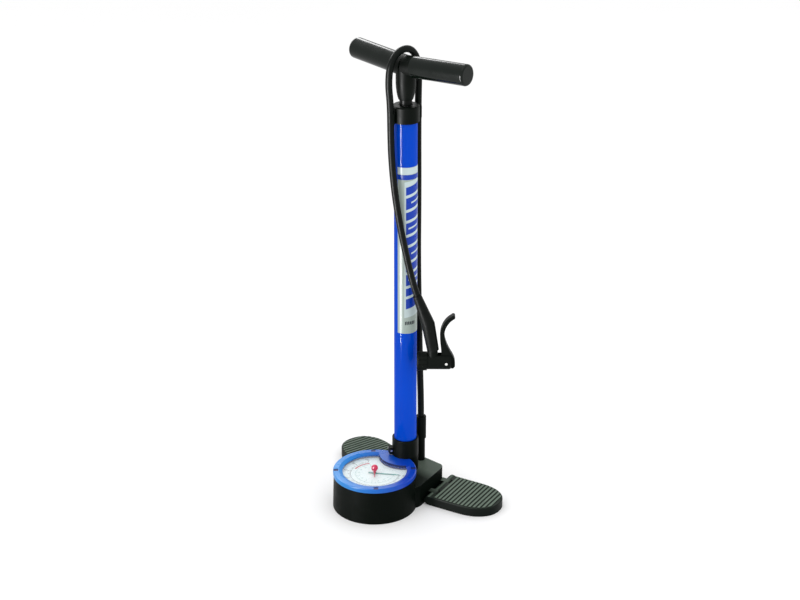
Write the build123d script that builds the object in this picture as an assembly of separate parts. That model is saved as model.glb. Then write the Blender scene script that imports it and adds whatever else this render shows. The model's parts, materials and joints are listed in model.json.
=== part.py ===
from build123d import *
import math
import os

# Floor bike pump. Millimetres, +Z up. The origin is on the floor, on the barrel's axis.
# +X points along the handle to the right, -Y points to the gauge at the front.

# ---- Driving dimensions -------------------------------------------------------------

# Clearances
PRESS = 0.03            # radial, between pieces that stay together
RUNNING = 0.05          # radial, between a shaft and its hole
GAP = 0.3               # between pieces that move past each other

# Barrel, an upright steel tube
BARREL_OD = 32.0
BARREL_WALL = 1.2
BARREL_BOTTOM = 40.0
BARREL_TOP = 572.0

# Label wrapped half way round the barrel, on the +X side
LABEL_BOTTOM = 253.0
LABEL_TOP = 498.0
LABEL_THICKNESS = 0.15

# Base: gauge drum in front, block round the barrel's foot behind it
DRUM_OFFSET = 65.0      # from the barrel's axis forward to the drum's axis
DRUM_TOP_RADIUS = 58.5
DRUM_FOOT_RADIUS = 60.0
DRUM_HEIGHT = 49.5
DRUM_WALL = 3.0
DRUM_FLOOR = 4.0
BLOCK_HEIGHT = 33.0
BLOCK_REAR = 41.0
BLOCK_CORNER = 10.0     # rounding of the block's rear corners
BLOCK_FRONT_CORNER = 50.0
BLOCK_SIDE_FRONT = 46.0 # from the feet's centre line forward along the block's side
SOCKET_WALL = 2.6
SOCKET_TOP = 56.0
SOCKET_SHIELD = 22.0    # solid wall kept round the socket inside the drum

# Air passages in the base
AIR_HEIGHT = 14.0
AIR_RADIUS = 1.55
INTAKE_RADIUS = 4.0
VALVE_BORE_RADIUS = 5.0
VALVE_BORE_START = 10.0
GAUGE_PASSAGE_X = 24.0

# Folding feet
FOOT_SWEEP = 12.0       # each foot is swept back by this angle
FOOT_ROOT_Y = 8.0       # the feet's centre lines meet here, behind the barrel's axis
FOOT_HALF_WIDTH = 36.8
FOOT_REACH = 149.0
FOOT_STRAIGHT_END = 97.0
FOOT_THICKNESS = 13.2
FOOT_RIB_HEIGHT = 1.0
FOOT_RIB_PITCH = 6.0
FOOT_RIB_WIDTH = 3.0
HINGE_REACH = 53.4
HINGE_HEIGHT = 7.0
KNUCKLE_RADIUS = 6.8
KNUCKLE_HALF = 13.0
LUG_OUTER = 23.0
LUG_ROOT = 12.0         # how far each lug's web runs into the block
HINGE_PIN_RADIUS = 2.5
BLOCK_SIDE = 45.2       # from the feet's meeting point out to the block's side

# Gauge
BEZEL_RADIUS = 59.3
BEZEL_TOP = 56.0
BEZEL_LIP = 54.0
BEZEL_NOTCH_WIDTH = 6.5
BEZEL_NOTCH_DEPTH = 2.4
WINDOW_RADIUS = 46.0
WINDOW_CUT = 38.0       # arc about the barrel that cuts the window off
LENS_RADIUS = 48.5
LENS_BOTTOM = 51.0
LENS_THICKNESS = 1.6
LENS_SKIRT = 1.2
DIAL_TOP = 48.6
DIAL_THICKNESS = 0.8
LEDGE_THICKNESS = 3.0
NEEDLE_LENGTH = 36.0
NEEDLE_TAIL = 9.0
NEEDLE_ANGLE = 33.0
NEEDLE_THICKNESS = 0.6
ARBOR_RADIUS = 1.2
MARKER_ANGLE = -48.0
MARKER_LENGTH = 14.0
MARKER_STEM_RADIUS = 1.8
MARKER_BALL_RADIUS = 4.8
MARKER_BALL_HEIGHT = 57.7
BOURDON_RADIUS = 30.0
BOURDON_HEIGHT = 25.0
GAUGE_TUBE_RADIUS = 1.5

# Collar that clamps the barrel in its socket
COLLAR_WALL = 2.9
COLLAR_TOP = 83.0
COLLAR_SCREW_ANGLE = 236.0
COLLAR_SCREW_OUT = 2.7
COLLAR_SCREW_HEIGHT = 64.0
COLLAR_SCREW_RADIUS = 1.6
COLLAR_LUG_WIDTH = 9.0

# Cap on the barrel's top, with a clip for each run of the hose
CAP_WALL = 2.5
CAP_SKIRT = 13.0        # the cap reaches this far down the barrel
CAP_CROWN = 9.5         # and this far above it
CLIP_DISTANCE = 24.6
CLIP_ANGLES = (90.0, 257.0)
CLIP_BORE = 4.95
CLIP_WALL = 1.2
CLIP_HEIGHT = 16.0
CLIP_MOUTH = 1.0        # from the hose's centre out to the clip's open side

# Rod, piston and handle
ROD_RADIUS = 6.0
ROD_STUD = 31.0         # rod's end above the neck's bottom
PISTON_BOTTOM = 47.0
PISTON_HEIGHT = 18.0
PISTON_CUP_HEIGHT = 7.0
BUSH_HEIGHT = 24.0
WIPER_RADIUS = 10.0
BUMPER_RADIUS = 8.6
BUMPER_HEIGHT = 8.0
NECK_FLANK = 22.0
NECK_HEIGHT = 45.5      # from the neck's bottom to the arms' axis
NECK_SMALL_RADIUS = 10.0
NECK_LARGE_RADIUS = 13.6
HANDLE_SWEEP = 5.5      # each arm is swept back by this angle
HANDLE_RISE = 2.5       # each arm rises by this angle towards its end
ARM_RADIUS = 10.0
ARM_BORE = 7.5
ARM_LENGTH = 86.0
HUB_HALF = 14.2
GRIP_RADIUS = 14.5
GRIP_END = 87.0
HANDLE_END = 100.0
NUT_RADIUS = 7.0
NUT_HEIGHT = 6.0

# Hose outlet behind the barrel
OUTLET_Y = 33.6
OUTLET_RADIUS = 6.2
OUTLET_BORE = 2.0
BARB_RADIUS = 2.7
FERRULE_RADIUS = 7.7
FERRULE_BOTTOM = 69.0
FERRULE_TOP = 104.0

# Hose
HOSE_RADIUS = 4.75
HOSE_BORE = 2.8
HOSE_ARC_SHARE = 0.45

# Pump head, hanging on the hose's free end. Its own x runs from the valve mouth to the
# lever, and it is turned by HEAD_TURN about Z.
HEAD_TURN = 42.0
HEAD_MOUTH_ALONG = 16.0
HEAD_FORWARD = 26.0
HEAD_HEIGHT = 216.0
HEAD_RADIUS = 11.8
HEAD_LENGTH = 48.0
HEAD_CAP_RADIUS = 13.4
HEAD_CAP_LENGTH = 14.0
HEAD_MOUTH_RADIUS = 4.4
GASKET_RADIUS = 8.0
GASKET_BORE = 4.0
GASKET_LENGTH = 9.0
PLUNGER_RADIUS = 3.0
PLUNGER_HEAD_RADIUS = 7.0
PLUNGER_TRAVEL = 1.5
LEVER_PIVOT = 41.0      # from the mouth, along the head
LEVER_WIDTH = 10.0
LEVER_PIN_RADIUS = 2.0
CAM_RADIUS = 8.0
CAM_OFFSET = 2.7
SPOUT_ALONG = 22.5
SPOUT_TILT = 10.0
SPOUT_RADIUS = 8.4
SPOUT_TOP = 17.0
BARB_GRIP = 8.0         # length of the barb in the head, and again in the hose
HEAD_BARB_BORE = 1.4
SLEEVE_LOWER = 40.0     # from the sleeve's foot up to its bend
SLEEVE_UPPER = 46.0     # from the bend to its tip
SLEEVE_BEND = 10.0
SLEEVE_RUN = 52.0       # straight run of hose above the bend
SLEEVE_FOOT_RADIUS = 8.4
SLEEVE_BEND_RADIUS = 9.4
SLEEVE_TIP_RADIUS = 6.0
SLEEVE_EASE = 0.15      # radial, between the sleeve and the hose

# ---- Values worked out from them -------------------------------------------------------

BARREL_RADIUS = BARREL_OD / 2
BARREL_BORE = BARREL_RADIUS - BARREL_WALL
SOCKET_RADIUS = BARREL_RADIUS + SOCKET_WALL
COLLAR_RADIUS = BARREL_RADIUS + COLLAR_WALL
CAP_RADIUS = BARREL_RADIUS + CAP_WALL
CAP_BOTTOM = BARREL_TOP - CAP_SKIRT
CAP_TOP = BARREL_TOP + CAP_CROWN
NECK_BOTTOM = CAP_TOP + BUMPER_HEIGHT
NECK_WIDE = NECK_BOTTOM + NECK_FLANK
HANDLE_HEIGHT = NECK_BOTTOM + NECK_HEIGHT
ROD_TOP = NECK_BOTTOM + ROD_STUD
DRUM_CENTRE = (0, -DRUM_OFFSET)
SWEEP = math.radians(FOOT_SWEEP)


# ---- Helpers -----------------------------------------------------------------------------

def rod(radius, bottom, top, x=0.0, y=0.0):
    """An upright cylinder from one height to another."""
    middle = (bottom + top) / 2
    return Pos(x, y, middle) * Cylinder(radius, top - bottom)


def tube(outer, inner, bottom, top, x=0.0, y=0.0):
    """An upright ring or tube."""
    return rod(outer, bottom, top, x, y) - rod(inner, bottom - 1, top + 1, x, y)


def rod_y(radius, start, end, x, z):
    """A cylinder along Y."""
    return Pos(x, (start + end) / 2, z) * Rot(90, 0, 0) * Cylinder(radius, end - start)


def rod_x(radius, start, end, y, z):
    """A cylinder along X."""
    return Pos((start + end) / 2, y, z) * Rot(0, 90, 0) * Cylinder(radius, end - start)


def slab(sketch, bottom, top):
    """A flat outline raised from one height to another."""
    return Pos(0, 0, bottom) * extrude(sketch, amount=top - bottom)


def in_foot_frame(side):
    """Place of a foot's own frame: x runs outwards along the foot, y across it."""
    turn = FOOT_SWEEP if side > 0 else 180 - FOOT_SWEEP
    return Pos(0, FOOT_ROOT_Y, 0) * Rot(0, 0, turn)


def along_arm(side, start, end, radius, inner=0.0):
    """A round piece on one handle arm, between two distances from the middle."""
    length = end - start
    piece = Cylinder(radius, length)
    if inner:
        piece = piece - Cylinder(inner, length + 2)
    tilt = Rot(0, 0, side * HANDLE_SWEEP) * Rot(0, side * (90 - HANDLE_RISE), 0)
    return Pos(0, 0, HANDLE_HEIGHT) * tilt * Pos(0, 0, (start + end) / 2) * piece


def in_head_frame():
    """Place of the pump head's own frame, at the middle of its valve mouth."""
    turn = math.radians(HEAD_TURN)
    x = HEAD_MOUTH_ALONG * math.cos(turn) + HEAD_FORWARD * math.sin(turn)
    y = HEAD_MOUTH_ALONG * math.sin(turn) - HEAD_FORWARD * math.cos(turn)
    return Pos(x, y, HEAD_HEIGHT) * Rot(0, 0, HEAD_TURN)


def in_spout_frame():
    """Place of the hose's entry into the head: z runs up along the hose."""
    return in_head_frame() * Pos(SPOUT_ALONG, 0, SPOUT_TOP) * Rot(0, -SPOUT_TILT, 0)


# ---- Base --------------------------------------------------------------------------------

def block_outline():
    """Plan of the block, whose sides stand square to the swept feet."""
    corners = []
    rear_across = (BLOCK_REAR - FOOT_ROOT_Y - BLOCK_SIDE * math.sin(SWEEP)) / math.cos(SWEEP)
    for across in (rear_across, -BLOCK_SIDE_FRONT):
        x = BLOCK_SIDE * math.cos(SWEEP) - across * math.sin(SWEEP)
        y = FOOT_ROOT_Y + BLOCK_SIDE * math.sin(SWEEP) + across * math.cos(SWEEP)
        corners.append((x, y))
    front = (BLOCK_FRONT_CORNER, -BLOCK_FRONT_CORNER)
    right = corners + [front]
    left = [(-x, y) for x, y in reversed(right)]
    outline = make_face(Polyline(*right, *left, close=True))
    return fillet(outline.vertices().sort_by(Axis.Y)[-2:], BLOCK_CORNER)


def drum_shell():
    """Tapered outer form of the gauge drum."""
    foot = Plane.XY * Pos(*DRUM_CENTRE) * Circle(DRUM_FOOT_RADIUS)
    top = Plane.XY.offset(DRUM_HEIGHT) * Pos(*DRUM_CENTRE) * Circle(DRUM_TOP_RADIUS)
    return loft([foot, top])


def drum_hollow():
    """Space for the gauge, with a ledge under the dial and a solid wall at the socket."""
    inner = DRUM_TOP_RADIUS - DRUM_WALL
    ledge_top = DIAL_TOP - DIAL_THICKNESS
    ledge_bottom = ledge_top - LEDGE_THICKNESS
    lower = rod(inner, DRUM_FLOOR, ledge_bottom, *DRUM_CENTRE)
    neck = rod(WINDOW_RADIUS, ledge_bottom, ledge_top, *DRUM_CENTRE)
    upper = rod(LENS_RADIUS + PRESS, ledge_top, DRUM_HEIGHT + 1, *DRUM_CENTRE)
    shield = rod(SOCKET_SHIELD, 0, ledge_top)
    rim = rod(WINDOW_CUT, ledge_bottom, ledge_top)
    seat = rod(WINDOW_CUT - LENS_SKIRT - PRESS, ledge_top, DRUM_HEIGHT + 1)
    return lower - shield + (neck - rim) + (upper - seat)


def hinge_lugs(side):
    """Two lugs that carry one foot's hinge pin."""
    lugs = Part()
    for end in (-1, 1):
        middle = end * (KNUCKLE_HALF + LUG_OUTER) / 2
        width = LUG_OUTER - KNUCKLE_HALF
        eye = Pos(HINGE_REACH, middle, HINGE_HEIGHT) * Rot(90, 0, 0) * Cylinder(KNUCKLE_RADIUS, width)
        web_length = HINGE_REACH - BLOCK_SIDE + LUG_ROOT
        web_x = HINGE_REACH - web_length / 2
        web = Pos(web_x, middle, HINGE_HEIGHT) * Box(web_length, width, 2 * KNUCKLE_RADIUS)
        lugs += eye + web
    hole = Pos(HINGE_REACH, 0, HINGE_HEIGHT) * Rot(90, 0, 0)
    lugs -= hole * Cylinder(HINGE_PIN_RADIUS + PRESS, 2 * LUG_OUTER + 2)
    return in_foot_frame(side) * lugs


def air_passages():
    """Intake under the barrel, valve bore to the rear, and the drillings to hose and gauge."""
    intake = rod(INTAKE_RADIUS, AIR_HEIGHT - AIR_RADIUS - 1, BARREL_BOTTOM + 1)
    valve = rod_y(VALVE_BORE_RADIUS, VALVE_BORE_START, BLOCK_REAR + 1, 0, AIR_HEIGHT)
    entry = rod_y(AIR_RADIUS, 0, VALVE_BORE_START + 1, 0, AIR_HEIGHT)
    riser = rod(OUTLET_BORE, AIR_HEIGHT, BLOCK_HEIGHT + 1, 0, OUTLET_Y)
    cross = rod_x(AIR_RADIUS, 0, GAUGE_PASSAGE_X, OUTLET_Y - 6, AIR_HEIGHT)
    forward = rod_y(AIR_RADIUS, -DRUM_OFFSET + 20, OUTLET_Y - 6, GAUGE_PASSAGE_X, AIR_HEIGHT)
    return intake + valve + entry + riser + cross + forward


def base_body():
    """Moulded base: drum, block, barrel socket and hinge lugs in one piece."""
    block = slab(block_outline(), 0, BLOCK_HEIGHT)
    base = drum_shell() + block + rod(SOCKET_RADIUS, 0, SOCKET_TOP)
    base -= drum_hollow()
    base -= rod(BARREL_RADIUS + PRESS, BARREL_BOTTOM, SOCKET_TOP + 1)
    for side in (1, -1):
        base += hinge_lugs(side)
    return base - air_passages()


def hinge_pin(side):
    """Steel pin through one foot's knuckle."""
    pin = Cylinder(HINGE_PIN_RADIUS, 2 * LUG_OUTER)
    return in_foot_frame(side) * Pos(HINGE_REACH, 0, HINGE_HEIGHT) * Rot(90, 0, 0) * pin


def foot_outline(inset=0.0):
    """Plan of a foot: straight sides from the hinge's axis out to a rounded tip."""
    half = FOOT_HALF_WIDTH - inset
    tip = FOOT_REACH - inset
    bulge_x = FOOT_STRAIGHT_END + 0.74 * (tip - FOOT_STRAIGHT_END)
    bulge_y = 0.74 * half
    upper = Spline(
        (FOOT_STRAIGHT_END, half),
        (bulge_x, bulge_y),
        (tip, 0),
        tangents=[(1, 0), (0, -1)],
    )
    lower = mirror(upper, about=Plane.XZ)
    root = HINGE_REACH + inset
    sides = Polyline((FOOT_STRAIGHT_END, -half), (root, -half), (root, half), (FOOT_STRAIGHT_END, half))
    return make_face([upper, lower, sides])


def foot_ribs():
    """Ribs across a foot's top."""
    ribs = Part()
    first = HINGE_REACH + KNUCKLE_RADIUS
    count = int((FOOT_REACH - first) / FOOT_RIB_PITCH)
    for index in range(count):
        x = FOOT_REACH - (index + 1.2) * FOOT_RIB_PITCH
        place = Pos(x, 0, FOOT_THICKNESS + FOOT_RIB_HEIGHT / 2)
        ribs += place * Box(FOOT_RIB_WIDTH, 2 * FOOT_HALF_WIDTH, FOOT_RIB_HEIGHT)
    return ribs & slab(foot_outline(2.0), FOOT_THICKNESS - 1, FOOT_THICKNESS + FOOT_RIB_HEIGHT)


def foot(side):
    """Folding foot: a flat ribbed pad with a round root, notched for the hinge lugs."""
    pad = slab(foot_outline(), 0, FOOT_THICKNESS)
    pad = fillet(pad.edges().filter_by_position(Axis.Z, FOOT_THICKNESS, FOOT_THICKNESS), 1.2)
    hinge = Pos(HINGE_REACH, 0, HINGE_HEIGHT) * Rot(90, 0, 0)
    pad += hinge * Cylinder(KNUCKLE_RADIUS, 2 * FOOT_HALF_WIDTH)
    pad += foot_ribs()
    for end in (-1, 1):
        middle = end * (KNUCKLE_HALF + LUG_OUTER) / 2
        width = LUG_OUTER - KNUCKLE_HALF + 2 * GAP
        pad -= Pos(0, middle, 0) * hinge * Cylinder(KNUCKLE_RADIUS + GAP, width)
        pad -= Pos(HINGE_REACH, middle, 0) * Box(2 * KNUCKLE_RADIUS, width, 4 * KNUCKLE_RADIUS)
    pad -= hinge * Cylinder(HINGE_PIN_RADIUS + RUNNING, 2 * LUG_OUTER + 1)
    return in_foot_frame(side) * pad


# ---- Gauge -------------------------------------------------------------------------------

def cut_disc(radius, cut_radius, bottom, top):
    """A disc about the drum's axis, cut off by an arc about the barrel."""
    return rod(radius, bottom, top, *DRUM_CENTRE) - rod(cut_radius, bottom - 1, top + 1)


def gauge_bezel():
    """Ring over the gauge, sloping down to its window, with four dark notches."""
    low = Plane.XY.offset(DRUM_HEIGHT) * Pos(*DRUM_CENTRE) * Circle(BEZEL_RADIUS)
    ring = extrude(low, amount=BEZEL_TOP - DRUM_HEIGHT)
    ring = fillet(ring.edges().filter_by_position(Axis.Z, BEZEL_TOP, BEZEL_TOP), 1.6)
    ring -= cut_disc(WINDOW_RADIUS, WINDOW_CUT, DRUM_HEIGHT - 1, BEZEL_TOP + 1)
    dish_foot = Plane.XY.offset(BEZEL_LIP) * Pos(*DRUM_CENTRE) * Circle(WINDOW_RADIUS)
    dish_top = Plane.XY.offset(BEZEL_TOP) * Pos(*DRUM_CENTRE) * Circle(WINDOW_RADIUS + 5)
    ring -= loft([dish_foot, dish_top]) - rod(WINDOW_CUT, BEZEL_LIP - 1, BEZEL_TOP + 1)
    pocket_cut = WINDOW_CUT - LENS_SKIRT - PRESS
    pocket_top = LENS_BOTTOM + LENS_THICKNESS
    ring -= cut_disc(LENS_RADIUS + PRESS, pocket_cut, DRUM_HEIGHT - 1, pocket_top)
    ring -= rod(COLLAR_RADIUS + GAP, DRUM_HEIGHT - 1, BEZEL_TOP + 1)
    for corner in range(4):
        place = Pos(*DRUM_CENTRE) * Rot(0, 0, 45 + 90 * corner)
        notch = Box(2 * BEZEL_NOTCH_DEPTH + 2, BEZEL_NOTCH_WIDTH, 2 * BEZEL_NOTCH_DEPTH)
        ring -= place * Pos(BEZEL_RADIUS - 4, 0, BEZEL_TOP) * notch
    return ring


def gauge_lens():
    """Clear window that drops into the bezel, with a skirt standing on the dial."""
    top = LENS_BOTTOM + LENS_THICKNESS
    cut = WINDOW_CUT - LENS_SKIRT
    plate = cut_disc(LENS_RADIUS, cut, LENS_BOTTOM, top)
    skirt = cut_disc(LENS_RADIUS, cut, DIAL_TOP, LENS_BOTTOM)
    skirt -= cut_disc(LENS_RADIUS - LENS_SKIRT, cut + LENS_SKIRT, DIAL_TOP - 1, LENS_BOTTOM + 1)
    hole = rod(MARKER_STEM_RADIUS + RUNNING, LENS_BOTTOM - 1, top + 1, *DRUM_CENTRE)
    return plate + skirt - hole


def gauge_dial():
    """Printed plate under the needle."""
    plate = cut_disc(LENS_RADIUS, WINDOW_CUT - LENS_SKIRT, DIAL_TOP - DIAL_THICKNESS, DIAL_TOP)
    return plate - rod(ARBOR_RADIUS + 1.5, DIAL_TOP - 2, DIAL_TOP + 1, *DRUM_CENTRE)


def pointer(length, tail, width, bottom, thickness, angle):
    """A thin tapered pointer about the drum's axis."""
    outline = make_face(Polyline(
        (-tail, -width), (-tail, width), (0, width), (length, 0.35), (length, -0.35), (0, -width),
        close=True,
    ))
    return Pos(*DRUM_CENTRE) * Rot(0, 0, angle) * slab(outline, bottom, bottom + thickness)


def gauge_needle():
    """Needle on its arbor."""
    bottom = DIAL_TOP + 2 * GAP
    arbor = rod(ARBOR_RADIUS, BOURDON_HEIGHT, bottom + NEEDLE_THICKNESS, *DRUM_CENTRE)
    hub = rod(3.2, bottom, bottom + NEEDLE_THICKNESS, *DRUM_CENTRE)
    return arbor + hub + pointer(NEEDLE_LENGTH, NEEDLE_TAIL, 1.3, bottom, NEEDLE_THICKNESS, NEEDLE_ANGLE)


def marker_knob():
    """Ball knob whose stem passes through the lens to a short pressure marker."""
    bottom = DIAL_TOP + 2 * GAP + NEEDLE_THICKNESS + GAP
    stem = rod(MARKER_STEM_RADIUS, bottom, MARKER_BALL_HEIGHT, *DRUM_CENTRE)
    ball = Pos(*DRUM_CENTRE, MARKER_BALL_HEIGHT) * Sphere(MARKER_BALL_RADIUS)
    tip = pointer(MARKER_LENGTH, 0.5, 1.0, bottom, NEEDLE_THICKNESS, MARKER_ANGLE)
    return stem + ball + tip


def gauge_movement():
    """Frame in the drum that carries the arbor, standing on the drum's floor."""
    foot_plate = Pos(*DRUM_CENTRE, DRUM_FLOOR + 1.5) * Box(44, 20, 3)
    post = rod(6, DRUM_FLOOR, DIAL_TOP - 10, *DRUM_CENTRE)
    bore = rod(ARBOR_RADIUS + RUNNING, BOURDON_HEIGHT - GAP, DIAL_TOP, *DRUM_CENTRE)
    return foot_plate + post - bore


def bourdon_tube():
    """Curved pressure tube round the movement, with its inlet block."""
    start = Pos(*DRUM_CENTRE, BOURDON_HEIGHT)
    ring = start * (Cylinder(BOURDON_RADIUS, 8) - Cylinder(BOURDON_RADIUS - 2.5, 10))
    gap_box = Pos(0, -DRUM_OFFSET + BOURDON_RADIUS, BOURDON_HEIGHT) * Box(36, 36, 12)
    inlet = Pos(BOURDON_RADIUS - 1.25, -DRUM_OFFSET, 16) * Box(9, 12, 24)
    return ring - gap_box + inlet


def gauge_tube():
    """Capillary from the base's air passage to the gauge's inlet block."""
    end_x = BOURDON_RADIUS - 1.25
    points = [
        (GAUGE_PASSAGE_X, -10, AIR_HEIGHT),
        (GAUGE_PASSAGE_X, -34, AIR_HEIGHT),
        (end_x, -44, AIR_HEIGHT),
        (end_x, -DRUM_OFFSET + 6, AIR_HEIGHT),
    ]
    path = FilletPolyline(*points, radius=8)
    section = Plane(origin=points[0], z_dir=(0, -1, 0)) * Circle(GAUGE_TUBE_RADIUS)
    return sweep(section, path=path)


# ---- Barrel and its fittings ---------------------------------------------------------------

def barrel():
    """Upright steel tube."""
    return tube(BARREL_RADIUS, BARREL_BORE, BARREL_BOTTOM, BARREL_TOP)


def barrel_label():
    """Thin film wrapped half way round the barrel."""
    film = tube(BARREL_RADIUS + LABEL_THICKNESS, BARREL_RADIUS, LABEL_BOTTOM, LABEL_TOP)
    side = 2 * BARREL_OD
    keep = Pos(side / 2, 0, (LABEL_BOTTOM + LABEL_TOP) / 2) * Box(side, side, LABEL_TOP)
    return film & keep


def barrel_collar():
    """Split clamp ring on top of the socket, with a screw lug at its front left."""
    ring = tube(COLLAR_RADIUS, BARREL_RADIUS + PRESS, SOCKET_TOP, COLLAR_TOP)
    turn = Rot(0, 0, COLLAR_SCREW_ANGLE)
    lug = turn * Pos(COLLAR_RADIUS + 1.5, 0, COLLAR_SCREW_HEIGHT) * Box(8, COLLAR_LUG_WIDTH, 10)
    lug -= rod(BARREL_RADIUS + 1, SOCKET_TOP - 1, COLLAR_TOP + 1)
    seat = Pos(COLLAR_RADIUS + COLLAR_SCREW_OUT, 0, COLLAR_SCREW_HEIGHT) * Rot(90, 0, 0)
    return ring + lug - turn * seat * Cylinder(COLLAR_SCREW_RADIUS, 2 * COLLAR_LUG_WIDTH)


def direction(angle):
    """Unit vector in plan at an angle from +X."""
    return (math.cos(math.radians(angle)), math.sin(math.radians(angle)))


def collar_screw():
    """Clamp screw across the collar's lug, with a round head."""
    distance = COLLAR_RADIUS + COLLAR_SCREW_OUT
    place = Rot(0, 0, COLLAR_SCREW_ANGLE) * Pos(distance, 0, COLLAR_SCREW_HEIGHT) * Rot(90, 0, 0)
    shank = Cylinder(COLLAR_SCREW_RADIUS - PRESS, COLLAR_LUG_WIDTH)
    head_height = 2.2
    head = Pos(0, 0, (COLLAR_LUG_WIDTH + head_height) / 2) * Cylinder(2.9, head_height)
    return place * (shank + head)


def barrel_seal():
    """Rubber ring between the barrel's foot and the socket's floor."""
    return tube(BARREL_BORE - PRESS, INTAKE_RADIUS + 3, BARREL_BOTTOM, BARREL_BOTTOM + 3)


def hose_clip(angle):
    """Half-round clip on the cap that one run of the hose snaps into."""
    x, y = [CLIP_DISTANCE * value for value in direction(angle)]
    ring = rod(CLIP_BORE + CLIP_WALL, CAP_BOTTOM, CAP_BOTTOM + CLIP_HEIGHT, x, y)
    size = 4 * CLIP_BORE
    start = CLIP_DISTANCE + CLIP_MOUTH
    mouth = Rot(0, 0, angle) * Pos(start + size / 2, 0, CAP_BOTTOM + CLIP_HEIGHT / 2)
    return ring - mouth * Box(size, size, 2 * CLIP_HEIGHT)


def top_cap():
    """Cap pressed over the barrel's top, with its two hose clips."""
    cap = rod(CAP_RADIUS, CAP_BOTTOM, CAP_TOP)
    cap = chamfer(cap.edges().filter_by_position(Axis.Z, CAP_TOP, CAP_TOP), 1.5)
    for angle in CLIP_ANGLES:
        cap += hose_clip(angle)
    cap -= rod(BARREL_RADIUS + PRESS, CAP_BOTTOM - 1, BARREL_TOP)
    cap -= rod(WIPER_RADIUS + PRESS, BARREL_TOP - 1, CAP_TOP + 1)
    for angle in CLIP_ANGLES:
        x, y = [CLIP_DISTANCE * value for value in direction(angle)]
        cap -= rod(CLIP_BORE, CAP_BOTTOM - 1, CAP_TOP + 1, x, y)
    return cap


def guide_bush():
    """Plastic bush in the barrel's mouth that guides the rod."""
    return tube(BARREL_BORE - PRESS, ROD_RADIUS + RUNNING, BARREL_TOP - BUSH_HEIGHT, BARREL_TOP)


def rod_wiper():
    """Felt and rubber wiper in the cap's top."""
    return tube(WIPER_RADIUS, ROD_RADIUS + RUNNING, BARREL_TOP, CAP_TOP - 1)


# ---- Rod, piston and handle ------------------------------------------------------------------

def piston_rod():
    """Steel rod with a thinner threaded end at the top and at the piston."""
    body = rod(ROD_RADIUS, PISTON_BOTTOM + PISTON_HEIGHT, ROD_TOP - NUT_HEIGHT - 3)
    lower = rod(3.0, PISTON_BOTTOM - 4, PISTON_BOTTOM + PISTON_HEIGHT)
    upper = rod(4.0, ROD_TOP - NUT_HEIGHT - 3, ROD_TOP)
    return body + lower + upper


def piston():
    """Piston body with a groove for its ring."""
    top = PISTON_BOTTOM + PISTON_HEIGHT
    body = tube(BARREL_BORE - GAP, 3.0 + PRESS, PISTON_BOTTOM + PISTON_CUP_HEIGHT, top)
    groove_bottom = top - 6
    groove = tube(BARREL_BORE + 1, BARREL_BORE - 2.6, groove_bottom, groove_bottom + 3)
    return body - groove


def piston_ring():
    """Guide ring in the piston's groove."""
    bottom = PISTON_BOTTOM + PISTON_HEIGHT - 6 + PRESS
    return tube(BARREL_BORE - RUNNING, BARREL_BORE - 2.6 + PRESS, bottom, bottom + 3 - 2 * PRESS)


def piston_cup():
    """Rubber cup seal under the piston, open downwards."""
    top = PISTON_BOTTOM + PISTON_CUP_HEIGHT
    cup = tube(BARREL_BORE - RUNNING, 3.0 + PRESS, PISTON_BOTTOM, top)
    return cup - rod(BARREL_BORE - 2.2, PISTON_BOTTOM - 1, top - 2.5)


def piston_nut():
    """Nut and washer in one, under the cup."""
    seat = PISTON_BOTTOM + PISTON_CUP_HEIGHT - 2.5
    washer = rod(8.0, seat - 1.2, seat)
    nut = slab(RegularPolygon(5.8, 6), seat - 6, seat - 1.2)
    return washer + nut - rod(3.0 + PRESS, seat - 8, seat + 1)


def rod_bumper():
    """Rubber ring on the rod that lands on the cap."""
    return tube(BUMPER_RADIUS, ROD_RADIUS + PRESS, CAP_TOP + PRESS, NECK_BOTTOM)


def handle_body():
    """Moulded T of the handle: bullet-shaped neck, hub and the two hollow arms."""
    neck_line = Polyline((0, NECK_BOTTOM), (NECK_SMALL_RADIUS, NECK_BOTTOM))
    flank = Spline(
        (NECK_SMALL_RADIUS, NECK_BOTTOM),
        (NECK_LARGE_RADIUS, NECK_WIDE),
        tangents=[(0.35, 1), (0.05, 1)],
    )
    rest = Polyline((NECK_LARGE_RADIUS, NECK_WIDE), (NECK_LARGE_RADIUS, HANDLE_HEIGHT), (0, HANDLE_HEIGHT), (0, NECK_BOTTOM))
    profile = make_face(Plane.XZ * (neck_line + flank + rest))
    handle = revolve(profile, Axis.Z)
    for side in (1, -1):
        handle += along_arm(side, 0, HUB_HALF, GRIP_RADIUS)
        handle += along_arm(side, 0, ARM_LENGTH, ARM_RADIUS)
    for side in (1, -1):
        handle -= along_arm(side, HUB_HALF, ARM_LENGTH + 1, ARM_BORE)
    handle -= rod(ROD_RADIUS + PRESS, NECK_BOTTOM - 1, ROD_TOP - NUT_HEIGHT - 3)
    handle -= rod(NUT_RADIUS + 1, ROD_TOP - NUT_HEIGHT - 3 + 2, ROD_TOP + 1)
    return handle - rod(4.0 + PRESS, NECK_BOTTOM, ROD_TOP)


def handle_nut():
    """Nut that holds the rod in the handle's neck."""
    bottom = ROD_TOP - NUT_HEIGHT - 1
    nut = slab(RegularPolygon(NUT_RADIUS, 6), bottom, bottom + NUT_HEIGHT)
    return nut - rod(4.0 + PRESS, bottom - 1, ROD_TOP + 1)


def grip(side):
    """Grip sleeve on one arm."""
    return along_arm(side, HUB_HALF + PRESS, GRIP_END, GRIP_RADIUS, ARM_RADIUS + PRESS)


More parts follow.
